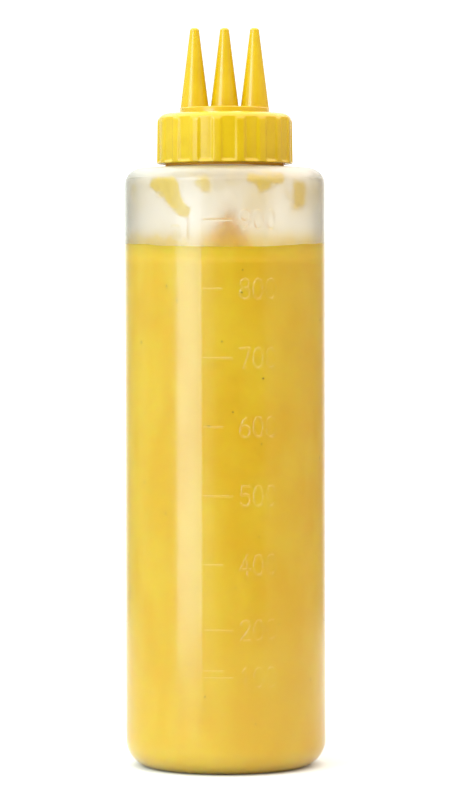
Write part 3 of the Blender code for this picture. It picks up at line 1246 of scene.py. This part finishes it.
@dataclass
class Sauce(Piece):
    """The sauce in the bottle, with the peak that the last squirt left."""

    replaced: tuple[str, ...] = ("sauce",)
    into_wall: float = 0.12 * MM
    level: float = 194.0 * MM
    meniscus: float = 0.6 * MM
    meniscus_width: float = 1.6 * MM
    side_rise: float = 1.6 * MM  # the level stands this much higher at the sides than in front
    back_rise: float = 0.3 * MM  # and this much more at the back
    peak_height: float = 16.6 * MM
    peak_reach: float = 15.6 * MM
    peak_offset: float = 1.8 * MM
    ripple: float = 0.35 * MM
    ripple_size: float = 9.0 * MM
    columns: int = 160
    rings: int = 40
    side_rows: tuple[float, ...] = (0.97, 0.9, 0.75, 0.5, 0.25)  # as shares of the level

    def side(self, bottle: Bottle) -> float:
        """Radius of the sauce's side, which just enters the wall."""
        return bottle.inner_radius + self.into_wall

    def outline(self, bottle: Bottle) -> list[Point]:
        """The section from the middle of the top down the side to the middle of the floor.

        Args:
            bottle: The bottle that it is in.

        Returns:
            The points in order.
        """
        outer = self.side(bottle)
        top = straight((0.0, self.level), (outer, self.level), self.rings)
        base = (bottle.radius - bottle.base_corner, bottle.base_corner)
        corner = bottle.base_corner - bottle.wall + self.into_wall
        lift = bottle.base_thickness - self.into_wall
        rows = [(outer, self.level * share) for share in self.side_rows]
        return top + rows + arc(base, corner, 0.0, -90.0, 12) + bottle.dome(lift)

    def surface(self, radius: np.ndarray, azimuth: np.ndarray, outer: float) -> np.ndarray:
        """Height of the sauce's top, apart from its peak.

        Args:
            radius: Distance from the axis, one per point.
            azimuth: Azimuth in radians, one per point.
            outer: Radius of the sauce's side.

        Returns:
            The height of each point.
        """
        share = radius / outer
        edge = self.meniscus * np.exp((radius - outer) / self.meniscus_width)
        sides = self.side_rise * np.where(np.cos(azimuth) > 0.0, np.sin(azimuth) ** 2, 1.0)
        sides += self.back_rise * np.maximum(0.0, -np.cos(azimuth)) ** 2
        lumps = np.array(
            [
                noise.noise(Vector((r * math.sin(a), r * math.cos(a), 0.0)) / self.ripple_size)
                for r, a in zip(radius, azimuth, strict=True)
            ]
        )
        return self.level + edge + share * sides + self.ripple * lumps

    def build(self, bottle: Bottle) -> bpy.types.Object:
        """Models the sauce as one solid that just enters the wall, and pulls up its peak.

        Args:
            bottle: The bottle that it is in.

        Returns:
            The finished sauce.
        """
        body = turn("sauce_fill", self.outline(bottle), [(FULL_TURN, self.columns)])
        radius, azimuth, height = cylindrical(body)
        on_top = height > self.level - WELD
        height[on_top] = self.surface(radius[on_top], azimuth[on_top], self.side(bottle))
        place_points(body, radius, azimuth, height)
        edit(body)
        leave_edit()
        middle = int(np.argmin(np.where(on_top, radius, np.inf)))
        body.data.vertices[middle].select = True
        bpy.ops.object.mode_set(mode="EDIT")
        bpy.ops.transform.translate(
            value=(self.peak_offset, 0.0, self.peak_height),
            use_proportional_edit=True,
            proportional_edit_falloff="SHARP",
            proportional_size=self.peak_reach,
        )
        leave_edit()
        return body


@dataclass(frozen=True)
class Smear:
    """A smear: points of (azimuth in degrees, height in mm, half width in mm) along its middle."""

    path: tuple[tuple[float, float, float], ...]
    cover: float  # thickness of the film at its middle, where 1 hides what is behind

    def nodes(self, radius: float) -> list[tuple[np.ndarray, float]]:
        """Its points as (length along the wall, height) with its half width, in metres.

        Args:
            radius: Radius of the film.

        Returns:
            The points in order.
        """
        return [
            (np.array([math.radians(angle) * radius, level * MM]), half * MM)
            for angle, level, half in self.path
        ]


@dataclass
class Smears(Piece):
    """The film of sauce inside the wall and the neck, and a sheet of painted shade in the cleft
    round the neck.
    """

    cell: float = 0.5 * MM
    neck_cell: float = 1.2 * MM
    neck_columns: int = 120
    dip: float = 1.0 * MM  # how far the film starts below the level
    neck_gap: float = 1.0 * MM  # from the film's upper edge to the neck's lip
    ragged: float = 0.35  # share of a smear's half width by which noise moves its edge
    ragged_size: float = 4.5 * MM
    uneven: float = 0.5  # share of the plain film's thickness that the same noise takes or adds
    bloom: float = 0.22  # thickness of the film that clouds the front and back of the wall
    side_bloom: float = 0.07  # and its sides
    ceiling: float = 0.16  # and the shoulder, from below
    ceiling_run: float = 6.0 * MM  # over which the wall's film turns into the shoulder's
    neck: float = 0.95  # and the neck, which the sauce is squeezed through
    neck_rise: Point = (1.5 * MM, 4.0 * MM)  # over the roof, from the ceiling's film to the neck's
    crust_top: float = 229.0 * MM  # the sheet of painted cleft shade outside the neck goes up to here
    crusted: float = MustardSauce.crusting[1]
    steepness: float = 1.6  # how fast a smear thickens from its edge
    clearance: float = 0.12 * MM  # from the wall, so that the light reaches both sides
    smears: tuple[Smear, ...] = (
        Smear(((-60.0, 219.0, 6.0), (-30.0, 219.2, 7.0), (-6.0, 218.5, 5.0)), 0.1),
        Smear(((4.0, 220.0, 5.0), (44.0, 220.0, 5.5)), 0.1),
        Smear(((96.0, 219.8, 6.0), (215.0, 219.8, 6.0)), 0.2),
        Smear(((-145.0, 219.5, 5.0), (-70.0, 217.0, 6.0)), 0.15),
        Smear(((-100.0, 195.5, 4.0), (-55.0, 196.0, 6.5), (-22.0, 194.5, 4.0)), 0.4),
        Smear(((34.0, 195.0, 4.0), (62.0, 195.0, 4.0), (100.0, 196.0, 5.0)), 0.2),
        Smear(((110.0, 196.5, 5.0), (180.0, 197.0, 6.0), (250.0, 196.5, 5.0)), 0.3),
        Smear(
            ((-37.5, 216.8, 4.2), (-33.0, 214.0, 5.4), (-28.0, 210.4, 4.2), (-23.5, 207.6, 3.0)),
            0.9,
        ),
        Smear(((-13.0, 218.0, 3.4), (-11.0, 215.5, 3.0)), 0.4),
        Smear(((-66.0, 215.0, 3.8), (-61.0, 210.0, 3.2)), 0.25),
        Smear(((-45.5, 217.6, 2.6), (-38.0, 217.8, 3.4), (-30.5, 217.0, 3.0)), 0.9),
        Smear(((15.0, 219.3, 2.8), (23.5, 218.4, 4.0), (33.0, 219.3, 2.8)), 0.5),
        Smear(((47.5, 215.4, 6.0), (47.2, 212.0, 5.4)), 0.6),
        Smear(((158.0, 216.5, 5.6), (163.0, 209.0, 4.2)), 0.7),
        Smear(((108.0, 216.0, 4.4), (122.0, 214.5, 5.6), (131.0, 208.0, 3.4)), 0.75),
        Smear(((-151.0, 213.0, 3.2), (-146.0, 211.0, 3.4)), 0.45),
        Smear(((-112.0, 216.5, 5.0), (-108.0, 208.0, 4.0)), 0.6),
    )

    def line(self, bottle: Bottle, foot: float) -> list[Point]:
        """The film's section, from its foot up the wall, under the shoulder and up the neck.

        Args:
            bottle: The bottle that it lines.
            foot: Height of its lower edge.

        Returns:
            The points in order.
        """
        centre = bottle.shoulder_centre()
        corner = bottle.shoulder_corner - bottle.wall - self.clearance
        slope = 90.0 - bottle.shoulder_slope
        side = bottle.inner_radius - self.clearance
        rows = round((centre[1] - foot) / self.cell)
        line = straight((side, foot), (side, centre[1]), rows)[:-1]
        line += arc(centre, corner, 0.0, slope, round(1.5 * corner / self.cell))
        bore = bottle.neck_bore - self.clearance
        edge, run = line[-1], line[-1][0] - bore
        rise = run * math.tan(math.radians(bottle.shoulder_slope))
        root, top = (bore, edge[1] + rise), (bore, bottle.neck_top - self.neck_gap)
        line += straight(edge, root, round(run / self.cell))[1:]
        return line + straight(root, top, round((top[1] - root[1]) / self.neck_cell))[1:]

    def thickness(self, sheet: bpy.types.Object, bottle: Bottle) -> np.ndarray:
        """How thick the film is at each of the sheet's points, from 0 to 1.

        Args:
            sheet: The turned sheet.
            bottle: The bottle that it lines.

        Returns:
            The thickness at each point.
        """
        side = bottle.inner_radius - self.clearance
        radius, azimuth, height = cylindrical(sheet)
        places = np.stack([azimuth * side, height], axis=1)
        waves = np.array(
            [
                noise.fractal(vertex.co / self.ragged_size, 1.0, 2.0, 3)
                for vertex in sheet.data.vertices
            ]
        )
        inner = smooth_step(*self.neck_rise, height - bottle.roof)
        bloom = self.bloom + (self.side_bloom - self.bloom) * np.sin(azimuth) ** 2
        under = smooth_step(side, side - self.ceiling_run, radius)
        plain = bloom + under * (self.ceiling - bloom) + inner * (self.neck - self.ceiling)
        clear = 1.0 - plain * (1.0 + self.uneven * waves)
        for smear in self.smears:
            best = np.full(len(places), -np.inf)
            nodes = smear.nodes(side)
            for shift in (0.0, FULL_TURN * side):
                for (start, start_half), (end, end_half) in zip(nodes, nodes[1:], strict=False):
                    share, gap = beside(places + (shift, 0.0), start, end)
                    half = start_half + share * (end_half - start_half)
                    best = np.maximum(best, 1.0 - gap / half)
            rise = self.steepness * (best + self.ragged * waves)
            clear *= 1.0 - smear.cover * np.clip(rise, 0.0, 1.0)
        return np.clip(1.0 - clear, 0.0, 1.0)

    def build(self, bottle: Bottle, sauce: Sauce) -> bpy.types.Object:
        """Models the film and the painted cleft shade as open sheets of small cells, with their
        film attribute.

        Args:
            bottle: The bottle that they cling to.
            sauce: The sauce below them.

        Returns:
            The finished film.
        """
        line = self.line(bottle, sauce.level - self.dip)
        columns = round(FULL_TURN * bottle.inner_radius / self.cell)
        sheet = turn("sauce_film", line[::-1], [(FULL_TURN, columns)])
        # A ring outside the neck, under the cap, carries painted shade: the orange-brown of the
        # cleft's shadow.
        collar = [(bottle.neck_radius + self.clearance, self.crust_top)]
        collar += arc(bottle.neck_root, bottle.root_fillet - self.clearance, 180.0, 262.0, 5)
        ring = turn("neck_cleft_shade", collar, [(FULL_TURN, self.neck_columns)])
        crusted = np.full(len(ring.data.vertices), self.crusted)
        for part, values in ((sheet, self.thickness(sheet, bottle)), (ring, crusted)):
            film = part.data.attributes.new("film", "FLOAT", "POINT")
            film.data.foreach_set("value", values)
        return join("sauce_film", [sheet, ring])


@dataclass
class HerbFlakes(Piece):
    """Small flakes of herb that show where the sauce wets the wall."""

    count: int = 90
    seed: int = 7
    sizes: Point = (0.3 * MM, 0.55 * MM)  # half lengths
    lengths: Point = (0.6, 1.0)  # share of that which a flake keeps
    widths: Point = (0.5, 1.0)  # its width as a share of its length
    heights: Point = (8.0 * MM, 190.0 * MM)
    flatness: float = 0.35
    ragged: float = 0.25  # share of a flake's size by which noise moves its corners
    ragged_size: float = 0.3 * MM
    outside: float = 0.06 * MM  # how far a flake's middle stands out of the sauce

    def build(self, bottle: Bottle, sauce: Sauce) -> bpy.types.Object:
        """Scatters the flakes, all in one piece.

        Args:
            bottle: The bottle that they are in.
            sauce: The sauce that they are in.

        Returns:
            The finished flakes.
        """
        chance = random.Random(self.seed)
        radius = sauce.side(bottle) + self.outside
        flakes = []
        for _ in range(self.count):
            half = chance.uniform(*self.sizes) * chance.uniform(*self.lengths)
            azimuth = chance.uniform(-math.pi, math.pi)
            height = chance.uniform(*self.heights)
            bpy.ops.object.select_all(action="DESELECT")
            bpy.ops.mesh.primitive_ico_sphere_add(subdivisions=1, radius=half)
            flake = bpy.context.object
            edit(flake)
            bpy.ops.mesh.select_all(action="SELECT")
            width = chance.uniform(*self.widths)
            bpy.ops.transform.resize(value=(1.0, self.flatness, width))
            leave_edit()
            lean = chance.uniform(0.0, math.pi)
            for vertex in flake.data.vertices:
                x, depth, z = vertex.co
                across = x * math.cos(lean) - z * math.sin(lean)
                up = x * math.sin(lean) + z * math.cos(lean)
                sample = vertex.co / self.ragged_size + Vector((half / MM, 0.0, 0.0))
                rough = 1.0 + self.ragged * noise.noise(sample)
                turned = azimuth + across * rough / radius
                vertex.co = spot(radius - depth, turned, height + up * rough)
            flakes.append(flake)
        return join("herb_flakes", flakes)


# ---- The studio ----


@dataclass
class Studio:
    """Pale floor, soft light and the camera."""

    picture: tuple[int, int] = (458, 799)  # width and height in points
    focal: float = 3591.0  # focal length in picture points
    sensor: float = 36.0
    eye: tuple[float, float, float] = (1.48 * MM, -1.35, 177.1 * MM)
    horizon: float = 294.5  # picture row of the horizon
    roll: float = math.radians(0.12)
    nearest: float = 0.05  # the camera sees nothing closer
    floor_radius: float = 0.6
    floor_sides: int = 96
    strips: tuple[tuple[str, float, float, float], ...] = (
        ("key_strip", 0.005, 0.222, 4.7),
        ("cap_strip", 0.246, 0.348, 3.1),
        ("tip_strip", 0.356, 0.45, 8.0),
    )  # name, bottom, top and radiance
    strip_azimuth: float = math.radians(-41.5)  # where they stand, from the front towards +X
    strip_distance: float = 0.45
    strip_width: float = 0.215
    strip_tint: str = "#C4E2FF"
    tints: tuple[str, str] = ("#F4FFFA", "#FFF8F0")  # of the left and the right wall
    backdrop: str = "#FFFFFF"  # what the camera sees
    walls: tuple[tuple[str, Point, Point], ...] = (
        ("X", (-0.7, 0.7), (1.0, 0.75)),  # from the left wall to the right one
        ("Y", (0.3, 0.6), (1.0, 0.6)),  # from the flanks to the back
        ("Y", (0.86, 0.95), (0.0, 0.8)),  # the backdrop's own light
        ("Z", (0.3, 0.5), (0.0, 2.1)),  # the light overhead
        ("X", (-0.7, 0.7), (0.0, 1.0)),  # the tints' share
    )  # axis, a stretch of it and what the stretch maps to
    opening: float = math.radians(17.0)  # azimuth of the dim opening behind the camera
    opening_edge: Point = (math.radians(34.0), math.radians(24.0))  # from its middle, outer first
    opening_light: float = 0.35

    def camera(self) -> None:
        """Adds the camera and makes it the scene's."""
        bpy.ops.object.camera_add(location=self.eye)
        camera = bpy.context.object
        camera.name = "camera"
        camera.data.sensor_width = self.sensor
        camera.data.lens = self.focal * self.sensor / max(self.picture)
        camera.data.clip_start = self.nearest
        dip = math.atan((0.5 * self.picture[1] - self.horizon) / self.focal)
        camera.rotation_euler = (0.5 * math.pi - dip, self.roll, 0.0)
        bpy.context.scene.camera = camera

    def floor(self) -> bpy.types.Object:
        """Adds the floor, a round sheet of paper.

        Returns:
            The floor.
        """
        bpy.ops.mesh.primitive_circle_add(
            vertices=self.floor_sides, radius=self.floor_radius, fill_type="NGON"
        )
        floor = bpy.context.object
        floor.name = floor.data.name = "floor"
        floor.data.materials.append(MattePaper().build())
        return floor

    def softbox(self, name: str, bottom: float, top: float, radiance: float) -> None:
        """Adds an upright area light that faces the bottle.

        Args:
            name: The light's name.
            bottom: Height of its lower edge.
            top: Height of its upper edge.
            radiance: How bright its face is, where white paper in full light is 1.
        """
        height = 0.5 * (bottom + top)
        place = spot(self.strip_distance, self.strip_azimuth, height)
        bpy.ops.object.light_add(type="AREA", location=place)
        light = bpy.context.object
        light.name = name
        light.data.shape = "RECTANGLE"
        light.data.size, light.data.size_y = self.strip_width, top - bottom
        light.data.energy = radiance * math.pi * self.strip_width * (top - bottom)
        light.data.color = linear(self.strip_tint)[:3]
        light.visible_camera = False
        aim = Vector((0.0, 0.0, height)) - place
        light.rotation_euler = aim.to_track_quat("-Z", "Y").to_euler()

    def world(self) -> None:
        """Adds the white room: brightest overhead, dim where it opens behind the camera."""
        world = bpy.data.worlds.new("white_room")
        bpy.context.scene.world = world
        world.use_nodes = True
        world.node_tree.nodes.clear()
        add = partial(add_node, world.node_tree)
        toward = add("TexCoord", output="Generated")
        opening = {"operation": "DOT_PRODUCT", 1: spot(1.0, self.opening, 0.0)}
        facing = add("VectorMath", opening, {0: toward}, "Value")
        edge = tuple(math.cos(angle) for angle in self.opening_edge)
        settings = {**SMOOTH, FROM: edge, TO: (1.0, self.opening_light)}
        opened = add("MapRange", settings, {0: facing})
        across, dim, drop, up, side = (
            add(
                "MapRange",
                {**SMOOTH, FROM: stretch, TO: values},
                {0: add("SeparateXYZ", links={0: toward}, output=axis)},
            )
            for axis, stretch, values in self.walls
        )
        flank = add("Math", MULTIPLY, {0: across, 1: dim})
        around = add("Math", ADD, {0: flank, 1: drop})
        walls = add("Math", MULTIPLY, {0: opened, 1: around})
        room = add("Math", ADD, {0: walls, 1: up})
        seen = add("LightPath", output="Is Camera Ray")
        strength = add("Math", {"operation": "MAXIMUM"}, {0: room, 1: seen})
        tint = add("Mix", {**BLEND, ENDS: self.tints}, {0: side}, BLENDED)
        colour = add("Mix", {**BLEND, ENDS[1]: self.backdrop}, {0: seen, ENDS[0]: tint}, BLENDED)
        add("OutputWorld", links={0: add("Background", links={0: colour, 1: strength})})

    def build(self) -> bpy.types.Object:
        """Sets up camera, lights and floor.

        Returns:
            The floor.
        """
        self.camera()
        self.world()
        for strip in self.strips:
            self.softbox(*strip)
        bpy.context.scene.view_settings.view_transform = "Standard"
        return self.floor()


def main() -> None:
    """Builds the studio and every piece, in order."""
    logging.basicConfig(level=logging.INFO, format="%(message)s")
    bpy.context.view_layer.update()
    Studio().build()
    bottle, cap, sauce, smears, flakes = Bottle(), Cap(), Sauce(), Smears(), HerbFlakes()
    mustard = MustardSauce()
    plastic = BlownPolyethylene().build(sauce.level, bottle.inner_radius, bottle.radius)
    bottle.dress(bottle.build(VolumeScale()), plastic)
    cap.dress(cap.build(), MouldedPolypropylene().build())
    sauce.dress(sauce.build(bottle), mustard.build(sauce.level))
    smears.dress(smears.build(bottle, sauce), mustard.build_film())
    flakes.dress(flakes.build(bottle, sauce), DriedHerb().build())


if __name__ == "__main__":
    main()
